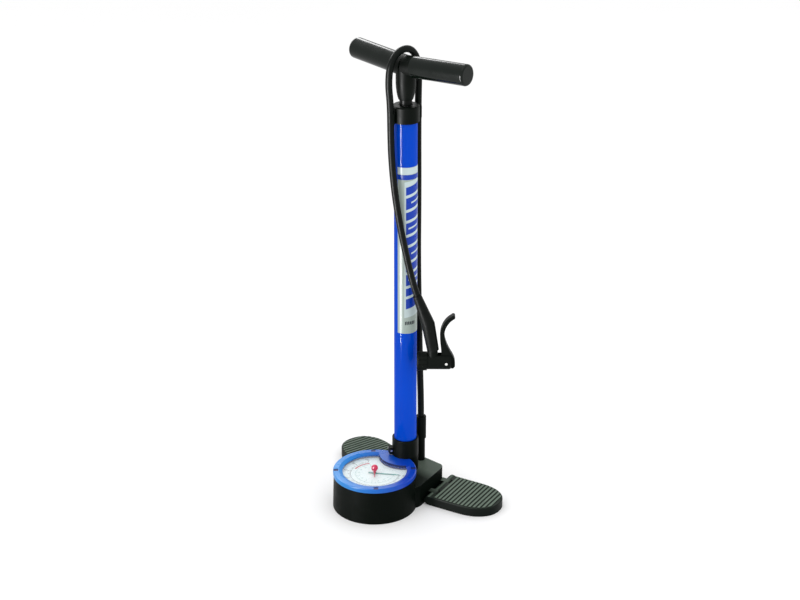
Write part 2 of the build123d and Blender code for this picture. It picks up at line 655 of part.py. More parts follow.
def grip_plug(side):
    """Rounded end of one grip, with a spigot in the arm's bore."""
    disc = along_arm(side, GRIP_END, HANDLE_END, GRIP_RADIUS)
    outer = disc.edges().sort_by(Axis.X)[-1 if side > 0 else 0]
    disc = fillet(outer, 3.0)
    return disc + along_arm(side, GRIP_END - 12, GRIP_END + 1, ARM_BORE - PRESS)


# ---- Check valve, outlet and hose ------------------------------------------------------------

def valve_seat():
    """Rubber seat at the inner end of the valve bore."""
    seat = rod_y(VALVE_BORE_RADIUS - PRESS, VALVE_BORE_START, VALVE_BORE_START + 4, 0, AIR_HEIGHT)
    return seat - rod_y(AIR_RADIUS, VALVE_BORE_START - 1, VALVE_BORE_START + 5, 0, AIR_HEIGHT)


def valve_ball():
    """Ball that closes on the seat."""
    radius = 3.0
    depth = math.sqrt(radius ** 2 - AIR_RADIUS ** 2)
    y = VALVE_BORE_START + 4 + depth + RUNNING
    return Pos(0, y, AIR_HEIGHT) * Sphere(radius)


def valve_spring():
    """Light coil spring behind the ball."""
    start = VALVE_BORE_START + 4 + 5.6
    end = BLOCK_REAR - 7
    coil = Helix(pitch=2.2, height=end - start, radius=2.4)
    wire = sweep(Plane(origin=coil @ 0, z_dir=coil % 0) * Circle(0.35), path=coil, is_frenet=True)
    return Pos(0, start + 0.4, AIR_HEIGHT) * Rot(-90, 0, 0) * wire


def valve_plug():
    """Screwed plug that closes the valve bore at the base's rear."""
    body = rod_y(VALVE_BORE_RADIUS - PRESS, BLOCK_REAR - 6, BLOCK_REAR, 0, AIR_HEIGHT)
    flange = rod_y(VALVE_BORE_RADIUS + 2, BLOCK_REAR, BLOCK_REAR + 2, 0, AIR_HEIGHT)
    slot = Pos(0, BLOCK_REAR + 2, AIR_HEIGHT) * Box(9, 2, 1.4)
    return body + flange - slot


def outlet_fitting():
    """Upright hose connector on the base's block, with its barb inside the hose."""
    stem = rod(OUTLET_RADIUS, BLOCK_HEIGHT, FERRULE_BOTTOM, 0, OUTLET_Y)
    barb = rod(BARB_RADIUS, FERRULE_BOTTOM, FERRULE_TOP - 10, 0, OUTLET_Y)
    bore = rod(OUTLET_BORE - 0.2, BLOCK_HEIGHT - 1, FERRULE_TOP, 0, OUTLET_Y)
    return stem + barb - bore


def outlet_ferrule():
    """Crimped sleeve round the hose's lower end."""
    sleeve = tube(FERRULE_RADIUS, HOSE_RADIUS + RUNNING, FERRULE_BOTTOM, FERRULE_TOP, 0, OUTLET_Y)
    return fillet(sleeve.edges().group_by(Axis.Z)[-1].sort_by(SortBy.RADIUS)[-1], 1.2)


def sleeve_points():
    """The hose's end at the head, its bend in the sleeve, and the end of the run above."""
    spout = in_spout_frame()
    bend = spout * Pos(0, 0, SLEEVE_LOWER)
    far = bend * Rot(0, -SLEEVE_BEND, 0) * Pos(0, 0, SLEEVE_RUN)
    return (spout * Pos(0, 0, 0.1)).position, bend.position, far.position


def hose_points():
    """Route of the hose, from the outlet up behind the barrel, over the handle, and down
    across the barrel's front to the pump head."""
    foot, bend, far = sleeve_points()
    return [
        Vector(0, OUTLET_Y, FERRULE_BOTTOM),
        Vector(0, OUTLET_Y, 122),
        Vector(0, 31.4, 170),
        Vector(0.8, 27.6, 250),
        Vector(-0.5, 25.6, 350),
        Vector(0.6, 25.0, 450),
        Vector(0, 24.6, 540),
        Vector(0.2, 24.8, 590),
        Vector(0, 25.8, 616),
        Vector(-0.3, 23.2, 642),
        Vector(-1.2, 9.4, 657.4),
        Vector(-2.6, -11.0, 657.4),
        Vector(-4.4, -25.8, 642),
        Vector(-6.6, -27.0, 614),
        Vector(-5.6, -24.2, 586),
        Vector(-5.2, -24.0, 545),
        Vector(-3.2, -24.8, 512),
        Vector(1.6, -24.9, 470),
        Vector(8.0, -22.6, 426),
        Vector(14.0, -18.4, 388),
        Vector(20.6, -13.6, 350),
        far,
        bend,
        foot,
    ]


def corner_radii(points):
    """Largest tangent arc that each corner's two runs allow."""
    radii = []
    for before, corner, after in zip(points, points[1:], points[2:]):
        turn = math.radians((corner - before).get_angle(after - corner))
        shorter = min((corner - before).length, (after - corner).length)
        radii.append(HOSE_ARC_SHARE * shorter / math.tan(turn / 2))
    return radii


def hose():
    """Rubber hose: straight runs joined by tangent arcs."""
    points = hose_points()
    radii = corner_radii(points)
    for point in points:
        print("hose point:", [round(value, 2) for value in point])
    print("hose arc radii:", [round(value, 1) for value in radii])
    path = FilletPolyline(*points, radius=radii)
    start = Plane(origin=points[0], z_dir=(0, 0, 1))
    solid = sweep(start * Circle(HOSE_RADIUS), path=path)
    bore = sweep(start * Circle(HOSE_BORE), path=path)
    section = math.pi * (HOSE_RADIUS ** 2 - HOSE_BORE ** 2)
    solid = solid - bore
    print("hose length:", round(path.length, 1))
    print("hose volume over section times length:", round(solid.volume / (section * path.length), 5))
    return solid


# ---- Pump head -------------------------------------------------------------------------------

def bar(radius, start, end, z=0.0):
    """A cylinder along the head's own x."""
    return Pos((start + end) / 2, 0, z) * Rot(0, 90, 0) * Cylinder(radius, end - start)


def head_body():
    """Moulded head: barrel-shaped body, spout for the hose and a fork for the lever."""
    start = HEAD_CAP_LENGTH
    body = bar(HEAD_RADIUS, start, HEAD_LENGTH)
    body = fillet(body.edges().filter_by(GeomType.CIRCLE).sort_by(Axis.X)[-1], 3.0)
    body += bar(GASKET_RADIUS + 2, start - 8, start + 1)
    body += Pos(SPOUT_ALONG, 0, SPOUT_TOP / 2) * Cylinder(SPOUT_RADIUS, SPOUT_TOP)
    spout = Pos(SPOUT_ALONG, 0, SPOUT_TOP) * Rot(0, -SPOUT_TILT, 0)
    body -= spout * Pos(0, 0, 15) * Box(60, 40, 30)
    slot_start = LEVER_PIVOT - CAM_RADIUS - CAM_OFFSET - 1.2
    slot_length = HEAD_LENGTH - slot_start + 2
    slot = Pos(slot_start + slot_length / 2, 0, 0) * Box(slot_length, LEVER_WIDTH + 2 * GAP, 60)
    gasket_room = bar(GASKET_RADIUS + RUNNING, start - 9, start - 1)
    head_room = bar(PLUNGER_HEAD_RADIUS + RUNNING, start - 2, start + 4 + PLUNGER_TRAVEL + GAP)
    guide = bar(PLUNGER_RADIUS + RUNNING, start, HEAD_LENGTH)
    pin_hole = Pos(LEVER_PIVOT, 0, 0) * Rot(90, 0, 0) * Cylinder(LEVER_PIN_RADIUS + PRESS, 60)
    barb_hole = spout * Pos(0, 0, -BARB_GRIP / 2) * Cylinder(BARB_RADIUS + PRESS, BARB_GRIP)
    air = spout * Pos(0, 0, -SPOUT_TOP / 2) * Cylinder(HEAD_BARB_BORE, SPOUT_TOP)
    return body - slot - gasket_room - head_room - guide - pin_hole - barb_hole - air


def head_cap():
    """Nut that holds the gasket, with grip flutes and the valve mouth."""
    cap = bar(HEAD_CAP_RADIUS, 0, HEAD_CAP_LENGTH)
    cap = fillet(cap.edges().filter_by(GeomType.CIRCLE).sort_by(Axis.X)[0], 2.0)
    cap -= bar(GASKET_RADIUS + 2 + PRESS, HEAD_CAP_LENGTH - 8, HEAD_CAP_LENGTH + 1)
    cap -= bar(GASKET_RADIUS + RUNNING, 3, HEAD_CAP_LENGTH)
    for index in range(12):
        turn = Rot(30 * index, 0, 0)
        cap -= turn * Pos(HEAD_CAP_LENGTH / 2 + 3, 0, HEAD_CAP_RADIUS + 0.6) * Rot(0, 90, 0) * Cylinder(1.4, HEAD_CAP_LENGTH)
    return cap - bar(HEAD_MOUTH_RADIUS, -1, 4)


def head_gasket():
    """Rubber gasket that grips the valve."""
    gasket = bar(GASKET_RADIUS, 3 + PRESS, 3 + GASKET_LENGTH)
    return gasket - bar(GASKET_BORE, 2, 4 + GASKET_LENGTH)


def head_plunger():
    """Plunger between the lever's cam and the gasket."""
    front = 3 + GASKET_LENGTH + RUNNING
    head = bar(PLUNGER_HEAD_RADIUS, front, front + 4)
    tail_end = LEVER_PIVOT - CAM_RADIUS - CAM_OFFSET - GAP
    return head + bar(PLUNGER_RADIUS, front, tail_end)


def lever():
    """Curved lever with a round cam at its root."""
    cam = Pos(-CAM_OFFSET, 0) * Circle(CAM_RADIUS)
    front = Spline((-6.8, 6.0), (-8.4, 30), (-8.2, 47), (-3.2, 60), (6.6, 69.5))
    tip = ThreePointArc((6.6, 69.5), (11.2, 70.2), (10.2, 65.6))
    back = Spline((10.2, 65.6), (1.4, 56.5), (-2.6, 45), (-0.4, 30), (5.6, 16.0), (10.8, 6.0), (12.4, -1.0))
    heel = Polyline((12.4, -1.0), (12.4, -6.5), (10.0, -9.5), (-2.0, -9.0), (-6.8, 6.0))
    arm = make_face([front, tip, back, heel])
    outline = Plane.XZ * (arm + cam - Circle(LEVER_PIN_RADIUS + RUNNING))
    solid = extrude(outline, amount=LEVER_WIDTH / 2, both=True)
    return Pos(LEVER_PIVOT, 0, 0) * solid


def lever_pin():
    """Steel pin through the fork."""
    return Pos(LEVER_PIVOT, 0, 0) * Rot(90, 0, 0) * Cylinder(LEVER_PIN_RADIUS, 2 * HEAD_RADIUS - 1)


def head_barb():
    """Metal barb in the spout that the hose is pushed on to."""
    return Cylinder(BARB_RADIUS, 2 * BARB_GRIP) - Cylinder(HEAD_BARB_BORE, 2 * BARB_GRIP + 2)


def strain_relief():
    """Tapered rubber sleeve that curves with the hose where it enters the head."""
    foot_circle = Circle(SLEEVE_FOOT_RADIUS)
    lower = loft([foot_circle, Pos(0, 0, SLEEVE_LOWER) * Circle(SLEEVE_BEND_RADIUS)])
    tip_circle = Pos(0, 0, SLEEVE_UPPER) * Circle(SLEEVE_TIP_RADIUS)
    upper = loft([Circle(SLEEVE_BEND_RADIUS), tip_circle])
    spout = in_spout_frame()
    bend_place = spout * Pos(0, 0, SLEEVE_LOWER)
    sleeve = spout * lower + bend_place * Sphere(SLEEVE_BEND_RADIUS)
    sleeve += bend_place * Rot(0, -SLEEVE_BEND, 0) * upper
    start = (spout * Pos(0, 0, -1)).position
    bend, far = sleeve_points()[1:]
    path = FilletPolyline(start, bend, far, radius=corner_radii(hose_points())[-1])
    section = Plane(origin=start, z_dir=bend - start) * Circle(HOSE_RADIUS + SLEEVE_EASE)
    return sleeve - sweep(section, path=path)


# ---- Build ---------------------------------------------------------------------------------

def build():
    """Every sub-part by name, in its place."""
    head = in_head_frame()
    spout = in_spout_frame()
    return {
        "base_body": base_body(),
        "hinge_pin_right": hinge_pin(1),
        "hinge_pin_left": hinge_pin(-1),
        "foot_right": foot(1),
        "foot_left": foot(-1),
        "gauge_bezel": gauge_bezel(),
        "gauge_lens": gauge_lens(),
        "gauge_dial": gauge_dial(),
        "gauge_needle": gauge_needle(),
        "gauge_movement": gauge_movement(),
        "bourdon_tube": bourdon_tube(),
        "gauge_tube": gauge_tube(),
        "marker_knob": marker_knob(),
        "barrel": barrel(),
        "barrel_label": barrel_label(),
        "barrel_collar": barrel_collar(),
        "collar_screw": collar_screw(),
        "barrel_seal": barrel_seal(),
        "top_cap": top_cap(),
        "guide_bush": guide_bush(),
        "rod_wiper": rod_wiper(),
        "piston_rod": piston_rod(),
        "piston": piston(),
        "piston_ring": piston_ring(),
        "piston_cup": piston_cup(),
        "piston_nut": piston_nut(),
        "rod_bumper": rod_bumper(),
        "handle_body": handle_body(),
        "handle_nut": handle_nut(),
        "grip_right": grip(1),
        "grip_left": grip(-1),
        "grip_plug_right": grip_plug(1),
        "grip_plug_left": grip_plug(-1),
        "valve_seat": valve_seat(),
        "valve_ball": valve_ball(),
        "valve_spring": valve_spring(),
        "valve_plug": valve_plug(),
        "outlet_fitting": outlet_fitting(),
        "outlet_ferrule": outlet_ferrule(),
        "hose": hose(),
        "strain_relief": strain_relief(),
        "head_barb": spout * head_barb(),
        "head_body": head * head_body(),
        "head_cap": head * head_cap(),
        "head_gasket": head * head_gasket(),
        "head_plunger": head * head_plunger(),
        "lever": head * lever(),
        "lever_pin": head * lever_pin(),
    }


os.makedirs("parts", exist_ok=True)
for name, shape in build().items():
    export_step(shape, f"parts/{name}.step")
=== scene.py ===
import json
import math

import bmesh
import bpy
from mathutils import Matrix, Vector


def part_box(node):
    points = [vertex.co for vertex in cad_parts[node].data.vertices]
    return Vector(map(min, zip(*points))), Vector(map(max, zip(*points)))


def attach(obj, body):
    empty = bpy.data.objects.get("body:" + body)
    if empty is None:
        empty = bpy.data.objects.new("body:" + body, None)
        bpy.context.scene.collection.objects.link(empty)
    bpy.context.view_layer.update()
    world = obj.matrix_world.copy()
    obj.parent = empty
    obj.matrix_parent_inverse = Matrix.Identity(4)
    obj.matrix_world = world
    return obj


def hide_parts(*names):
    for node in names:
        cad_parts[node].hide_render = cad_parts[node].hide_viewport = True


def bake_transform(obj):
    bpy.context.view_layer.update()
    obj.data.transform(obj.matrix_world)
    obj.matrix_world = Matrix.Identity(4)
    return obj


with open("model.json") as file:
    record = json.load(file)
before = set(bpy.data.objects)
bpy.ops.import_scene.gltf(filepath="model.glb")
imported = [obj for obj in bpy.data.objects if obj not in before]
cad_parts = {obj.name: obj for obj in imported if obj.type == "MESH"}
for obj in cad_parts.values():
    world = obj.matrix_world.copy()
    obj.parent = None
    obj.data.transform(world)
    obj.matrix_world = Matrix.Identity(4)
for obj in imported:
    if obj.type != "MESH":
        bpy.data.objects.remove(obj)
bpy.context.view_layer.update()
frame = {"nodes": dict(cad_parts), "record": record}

# ---- Sizes, in metres, from the record's frame ------------------------------------------

BARREL_LOW, BARREL_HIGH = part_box("barrel")
BARREL_RADIUS = (BARREL_HIGH[0] - BARREL_LOW[0]) / 2
LABEL_LOW, LABEL_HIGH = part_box("barrel_label")
BEZEL_LOW, BEZEL_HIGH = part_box("gauge_bezel")
DRUM_RADIUS = (BEZEL_HIGH[0] - BEZEL_LOW[0]) / 2
DRUM_Y = BEZEL_LOW[1] + DRUM_RADIUS
DIAL_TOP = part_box("gauge_dial")[1][2]
PRINT_LIFT = 0.00008

# Route of the hose: up behind the barrel, over the handle, across the barrel's front to
# the pump head.
HOSE_RADIUS = 0.00475
HOSE_POINTS = [
    (0.0, 0.0336, 0.069),
    (0.0, 0.0336, 0.122),
    (0.0, 0.0314, 0.170),
    (0.0008, 0.0276, 0.250),
    (-0.0005, 0.0256, 0.350),
    (0.0006, 0.0250, 0.450),
    (0.0, 0.0246, 0.540),
    (0.0002, 0.0248, 0.590),
    (0.0, 0.0258, 0.616),
    (-0.0003, 0.0232, 0.642),
    (-0.0012, 0.0094, 0.6574),
    (-0.0026, -0.0110, 0.6574),
    (-0.0044, -0.0258, 0.642),
    (-0.0066, -0.0270, 0.614),
    (-0.0056, -0.0242, 0.586),
    (-0.0052, -0.0240, 0.545),
    (-0.0032, -0.0248, 0.512),
    (0.0016, -0.0249, 0.470),
    (0.0080, -0.0226, 0.426),
    (0.0140, -0.0184, 0.388),
    (0.0206, -0.0136, 0.350),
    (0.02763, -0.01011, 0.32126),
    (0.04085, 0.00179, 0.27239),
    (0.0460, 0.00643, 0.2331),
]


# ---- Materials ---------------------------------------------------------------------------

class Surface:
    """A Principled material under construction, with small helpers for its nodes."""

    def __init__(self, name, colour, roughness, metallic=0.0):
        self.material = bpy.data.materials.new(name)
        self.material.use_nodes = True
        self.nodes = self.material.node_tree.nodes
        self.links = self.material.node_tree.links
        self.shader = self.nodes["Principled BSDF"]
        self.shader.inputs["Base Color"].default_value = (*colour, 1)
        self.shader.inputs["Roughness"].default_value = roughness
        self.shader.inputs["Metallic"].default_value = metallic
        self.colour = colour
        coordinates = self.nodes.new("ShaderNodeTexCoord")
        self.place = coordinates.outputs["Object"]

    def noise(self, scale, detail=4.0, roughness=0.55, stretch=(1, 1, 1)):
        mapping = self.nodes.new("ShaderNodeMapping")
        mapping.inputs["Scale"].default_value = stretch
        self.links.new(self.place, mapping.inputs["Vector"])
        node = self.nodes.new("ShaderNodeTexNoise")
        node.inputs["Scale"].default_value = scale
        node.inputs["Detail"].default_value = detail
        node.inputs["Roughness"].default_value = roughness
        self.links.new(mapping.outputs["Vector"], node.inputs["Vector"])
        return node.outputs["Fac"]

    def remap(self, value, low, high, start=0.3, stop=0.7):
        node = self.nodes.new("ShaderNodeMapRange")
        node.inputs["From Min"].default_value = start
        node.inputs["From Max"].default_value = stop
        node.inputs["To Min"].default_value = low
        node.inputs["To Max"].default_value = high
        self.links.new(value, node.inputs["Value"])
        return node.outputs["Result"]

    def vary_colour(self, value, other):
        node = self.nodes.new("ShaderNodeMix")
        node.data_type = "RGBA"
        node.inputs[6].default_value = (*self.colour, 1)
        node.inputs[7].default_value = (*other, 1)
        self.links.new(value, node.inputs[0])
        self.links.new(node.outputs[2], self.shader.inputs["Base Color"])

    def vary_roughness(self, value, low, high):
        self.links.new(self.remap(value, low, high), self.shader.inputs["Roughness"])

    def bump(self, value, strength, distance):
        node = self.nodes.new("ShaderNodeBump")
        node.inputs["Strength"].default_value = strength
        node.inputs["Distance"].default_value = distance
        self.links.new(value, node.inputs["Height"])
        self.links.new(node.outputs["Normal"], self.shader.inputs["Normal"])

    def sheen(self, level):
        """How much light the bare surface mirrors; 0.5 is common plastic."""
        self.shader.inputs["Specular IOR Level"].default_value = level

    def colour_by_height(self, low, high, stops):
        """Colours that change with height in the piece's own frame."""
        split = self.nodes.new("ShaderNodeSeparateXYZ")
        self.links.new(self.place, split.inputs[0])
        share = self.remap(split.outputs["Z"], 0.0, 1.0, low, high)
        node = self.nodes.new("ShaderNodeValToRGB")
        ramp = node.color_ramp
        ramp.elements[0].position, ramp.elements[-1].position = stops[0][0], stops[-1][0]
        for position, _ in stops[1:-1]:
            ramp.elements.new(position)
        for element, (_, colour) in zip(ramp.elements, stops):
            element.color = (*colour, 1)
        self.links.new(share, node.inputs["Fac"])
        return node.outputs["Color"]

    def coat(self, weight, roughness):
        self.shader.inputs["Coat Weight"].default_value = weight
        self.shader.inputs["Coat Roughness"].default_value = roughness


def moulded_plastic(name, colour, lighter, roughness, sheen=0.25, gloss=0.0):
    """Moulded plastic: fine grain, faint flow marks, and slightly uneven gloss."""
    surface = Surface(name, colour, roughness)
    surface.sheen(sheen)
    flow = surface.noise(14, 3)
    surface.vary_colour(surface.remap(flow, 0.0, 1.0), lighter)
    surface.vary_roughness(surface.noise(60, 5), roughness - 0.06, roughness + 0.08)
    surface.bump(surface.noise(900, 2), 0.12, 0.0001)
    surface.coat(gloss, 0.12)
    return surface.material


def dusty_plastic(name):
    """The base's black moulding, with painted light in patches on the faces that look up, weaker
    towards the front.
    """
    surface = Surface(name, (0.0014, 0.0030, 0.0018), 0.42)
    surface.sheen(0.04)
    coordinates = surface.nodes.new("ShaderNodeTexCoord")
    split = surface.nodes.new("ShaderNodeSeparateXYZ")
    surface.links.new(coordinates.outputs["Normal"], split.inputs[0])
    # Painted light: faces that look up are lightened as if lit from above, in patches, and less
    # towards the front.
    upward = surface.remap(split.outputs["Z"], 0.0, 1.0, 0.75, 0.98)
    patchy = surface.nodes.new("ShaderNodeMath")
    patchy.operation = "MULTIPLY"
    surface.links.new(upward, patchy.inputs[0])
    surface.links.new(surface.remap(surface.noise(30, 6, 0.65), 0.75, 1.0), patchy.inputs[1])
    across = surface.nodes.new("ShaderNodeSeparateXYZ")
    surface.links.new(surface.place, across.inputs[0])
    painted_top_light = surface.nodes.new("ShaderNodeMath")
    painted_top_light.operation = "MULTIPLY"
    surface.links.new(patchy.outputs[0], painted_top_light.inputs[0])
    surface.links.new(surface.remap(across.outputs["Y"], 0.12, 1.0, -0.006, 0.014), painted_top_light.inputs[1])
    surface.vary_colour(painted_top_light.outputs[0], (0.095, 0.122, 0.098))
    surface.vary_roughness(surface.noise(60, 5), 0.36, 0.52)
    surface.bump(surface.noise(900, 2), 0.12, 0.0001)
    return surface.material


def foot_plastic(name):
    """Grey-green moulding with random scuff mottling, painted shade on its sides and in its
    grooves, and painted light on the ribs' tops.
    """
    surface = Surface(name, (0.02, 0.026, 0.021), 0.5)
    surface.sheen(0.08)
    # Painted light and shade: dark low down on the sides and in the grooves, light on the ribs'
    # tops.
    colour = surface.colour_by_height(0.0120, 0.0142, [
        (0.0, (0.004, 0.007, 0.005)),
        (0.45, (0.012, 0.018, 0.013)),
        (0.62, (0.016, 0.023, 0.017)),
        (0.9, (0.115, 0.155, 0.120)),
        (1.0, (0.130, 0.175, 0.135)),
    ])
    scuff = surface.nodes.new("ShaderNodeMix")
    scuff.data_type = "RGBA"
    scuff.blend_type = "MULTIPLY"
    scuff.inputs[7].default_value = (0.78, 0.8, 0.78, 1)
    surface.links.new(surface.remap(surface.noise(90, 6, 0.7), 0.0, 1.0), scuff.inputs[0])
    surface.links.new(colour, scuff.inputs[6])
    surface.links.new(scuff.outputs[2], surface.shader.inputs["Base Color"])
    surface.vary_roughness(surface.noise(70, 5), 0.42, 0.58)
    surface.bump(surface.noise(800, 3), 0.15, 0.0001)
    return surface.material


def rubber(name, colour, lighter, roughness):
    """Black rubber with a dusty bloom and a soft fine grain."""
    surface = Surface(name, colour, roughness)
    surface.sheen(0.09)
    bloom = surface.noise(45, 6, 0.65)
    surface.vary_colour(surface.remap(bloom, 0.0, 1.0), lighter)
    surface.vary_roughness(surface.noise(150, 4), roughness - 0.05, roughness + 0.1)
    surface.bump(surface.noise(1600, 2), 0.08, 0.0001)
    return surface.material


def gloss_paint(name, colour, deeper):
    """Glossy stove enamel under a clear coat, with a trace of orange peel."""
    surface = Surface(name, colour, 0.3)
    surface.sheen(0.0)
    surface.vary_colour(surface.remap(surface.noise(9, 2), 0.0, 1.0), deeper)
    surface.vary_roughness(surface.noise(80, 4), 0.25, 0.35)
    surface.bump(surface.noise(420, 2), 0.015, 0.0001)
    surface.coat(0.16, 0.07)
    return surface.material


def bezel_plastic(name):
    """Glossy blue moulding, with a painted reflection on its front left and painted shade by the
    barrel.
    """
    surface = Surface(name, (0.004, 0.235, 0.66), 0.3)
    surface.sheen(0.25)
    split = surface.nodes.new("ShaderNodeSeparateXYZ")
    surface.links.new(surface.place, split.inputs[0])
    total = surface.nodes.new("ShaderNodeMath")
    total.operation = "ADD"
    surface.links.new(split.outputs["X"], total.inputs[0])
    surface.links.new(split.outputs["Y"], total.inputs[1])
    # Painted light and shade: azure towards the front left, deep blue towards the barrel, along X
    # + Y.
    painted_shade = surface.remap(total.outputs[0], 0.0, 1.0, -0.140, -0.010)
    surface.vary_colour(painted_shade, (0.0, 0.045, 0.44))
    surface.vary_roughness(surface.noise(80, 4), 0.26, 0.36)
    surface.bump(surface.noise(420, 2), 0.015, 0.0001)
    surface.coat(0.08, 0.05)
    return surface.material


def metal(name, colour, roughness, stretch=(1, 1, 1)):
    """Machined metal with fine tool marks."""
    surface = Surface(name, colour, roughness, 1.0)
    marks = surface.noise(700, 3, 0.6, stretch)
    surface.vary_roughness(marks, roughness - 0.08, roughness + 0.12)
    duller = tuple(v * 0.82 for v in colour)
    surface.vary_colour(surface.remap(surface.noise(50, 3), 0.0, 1.0), duller)
    surface.bump(marks, 0.06, 0.0001)
    return surface.material


def clear_lens(name):
    """Clear moulded window with a few faint surface scuffs."""
    surface = Surface(name, (0.985, 0.995, 0.995), 0.03)
    surface.shader.inputs["Alpha"].default_value = 0.08
    surface.coat(0.25, 0.03)
    surface.vary_roughness(surface.noise(260, 6, 0.7), 0.0, 0.04)
    surface.bump(surface.noise(500, 2), 0.01, 0.00005)
    surface.vary_colour(surface.remap(surface.noise(120, 4), 0.0, 1.0), (0.96, 0.975, 0.975))
    return surface.material


def printed(name, colour, roughness, mottle=0.94):
    """Printed ink or card with a slightly mottled surface."""
    surface = Surface(name, colour, roughness)
    surface.sheen(0.3)
    mottled = tuple(v * mottle for v in colour)
    surface.vary_colour(surface.remap(surface.noise(60, 3), 0.0, 1.0), mottled)
    surface.vary_roughness(surface.noise(120, 3), roughness - 0.05, roughness + 0.08)
    surface.bump(surface.noise(900, 2), 0.01, 0.00005)
    return surface.material


MATERIALS = {
    "black_plastic": moulded_plastic(
        "black_moulding", (0.0020, 0.0036, 0.0024), (0.0038, 0.0058, 0.0042), 0.42, 0.06,
    ),
    "foot_plastic": foot_plastic("foot_moulding"),
    "grip_black": moulded_plastic(
        "grip_moulding", (0.0012, 0.0040, 0.0022), (0.0022, 0.0054, 0.0034), 0.24, 0.03, 0.36,
    ),
    "blue_plastic": bezel_plastic("bezel_blue"),
    "blue_paint": gloss_paint("barrel_blue", (0.0, 0.064, 0.59), (0.0, 0.057, 0.54)),
    "black_rubber": rubber(
        "black_rubber", (0.0022, 0.0034, 0.0027), (0.0042, 0.0060, 0.0048), 0.36,
    ),
    "lens_clear": clear_lens("gauge_window"),
    "dial_white": printed("dial_white", (0.80, 0.90, 0.89), 0.4, 0.97),
    "needle_teal": printed("needle_teal", (0.03, 0.30, 0.27), 0.3),
    "marker_red": moulded_plastic("marker_red", (0.60, 0.015, 0.07), (0.66, 0.03, 0.1), 0.25, 0.5),
    "label_silver": printed("label_silver", (0.38, 0.46, 0.42), 0.3),
    "steel": metal("steel", (0.82, 0.82, 0.80), 0.3, (1, 1, 6)),
    "brass": metal("brass", (0.72, 0.53, 0.24), 0.3),
    "bush_plastic": moulded_plastic("bush_moulding", (0.7, 0.7, 0.66), (0.76, 0.76, 0.72), 0.4),
}
BASE_MOULDING = dusty_plastic("base_moulding")
INK_BLUE = printed("ink_blue", (0.0, 0.040, 0.42), 0.3)
INK_WHITE = printed("ink_white", (0.56, 0.67, 0.68), 0.3)
INK_GREY = printed("ink_grey", (0.035, 0.045, 0.05), 0.4)
INK_TEAL = printed("ink_teal", (0.05, 0.32, 0.30), 0.4)
INK_RED = printed("ink_red", (0.55, 0.08, 0.10), 0.4)
# Painted shade: dark blue for the pads in the bezel's notches and the skin on the window's wall.
SHADE_BLUE = moulded_plastic("painted_shade_blue", (0.003, 0.012, 0.10), (0.004, 0.016, 0.13), 0.45)


def finish_frame():
    """Gives every CAD node the material of its slot, and the base its moulding with painted light
    on its upper faces.
    """
    for row in frame["record"]["subparts"]:
        node = frame["nodes"][row["node"]]
        node.data.materials.clear()
        node.data.materials.append(MATERIALS[row["material_slot"]])
    frame["nodes"]["base_body"].data.materials[0] = BASE_MOULDING


# ---- Mesh helpers ------------------------------------------------------------------------

def new_piece(name, build, material, body):
    """A mesh piece built by build(bmesh), riding on a body when one is given."""
    mesh = bpy.data.meshes.new(name)
    made = bmesh.new()
    build(made)
    bmesh.ops.recalc_face_normals(made, faces=made.faces)
    made.to_mesh(mesh)
    made.free()
    piece = bpy.data.objects.new(name, mesh)
    bpy.context.scene.collection.objects.link(piece)
    mesh.materials.append(material)
    if body:
        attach(piece, body)
    return piece


def curve_mesh(data):
    """The mesh that a curve or a text makes; the curve itself is removed."""
    holder = bpy.data.objects.new(data.name, data)
    bpy.context.scene.collection.objects.link(holder)
    bpy.context.view_layer.update()
    shown = holder.evaluated_get(bpy.context.evaluated_depsgraph_get())
    mesh = bpy.data.meshes.new_from_object(shown)
    bpy.data.objects.remove(holder)
    bpy.data.curves.remove(data)
    return mesh


def flat_face(made, corners):
    made.faces.new([made.verts.new(point) for point in corners])


def smooth_line(points):
    """Points along the smooth curve that has these as its control points."""
    curve = bpy.data.curves.new("line", "CURVE")
    curve.dimensions = "3D"
    spline = curve.splines.new("NURBS")
    spline.points.add(len(points) - 1)
    for point, place in zip(spline.points, points):
        point.co = (*place, 1)
    spline.order_u = 3
    spline.use_endpoint_u = True
    spline.resolution_u = 14
    mesh = curve_mesh(curve)
    line = [vertex.co.copy() for vertex in mesh.vertices]
    bpy.data.meshes.remove(mesh)
    return line


def tube_along(made, line, radius, sides=20):
    """A closed tube along a line; radius is a function of the share of its length."""
    rings = []
    normal = Vector((1, 0, 0))
    for index, place in enumerate(line):
        ahead = line[min(index + 1, len(line) - 1)]
        behind = line[max(index - 1, 0)]
        tangent = (ahead - behind).normalized()
        normal = (normal - tangent * normal.dot(tangent)).normalized()
        across = tangent.cross(normal)
        size = radius(index / (len(line) - 1))
        ring = []
        for step in range(sides):
            angle = 2 * math.pi * step / sides
            offset = normal * math.cos(angle) + across * math.sin(angle)
            ring.append(made.verts.new(place + offset * size))
        rings.append(ring)
    for low, high in zip(rings, rings[1:]):
        for step in range(sides):
            after = (step + 1) % sides
            face = made.faces.new((low[step], low[after], high[after], high[step]))
            face.smooth = True
    made.faces.new(list(reversed(rings[0])))
    made.faces.new(rings[-1])


# ---- Hose --------------------------------------------------------------------------------

def hose():
    """The hose, which is looped over the handle."""
    line = smooth_line(HOSE_POINTS)
    piece = new_piece(
        "air_hose",
        lambda made: tube_along(made, line, lambda share: HOSE_RADIUS),
        MATERIALS["black_rubber"],
        None,
    )
    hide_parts("hose")
    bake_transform(piece)


COIL_WIRE = 0.00035     # radius of the check valve spring's wire
COIL_PITCH = 0.0022
COIL_STEPS = 20         # straight pieces in each turn


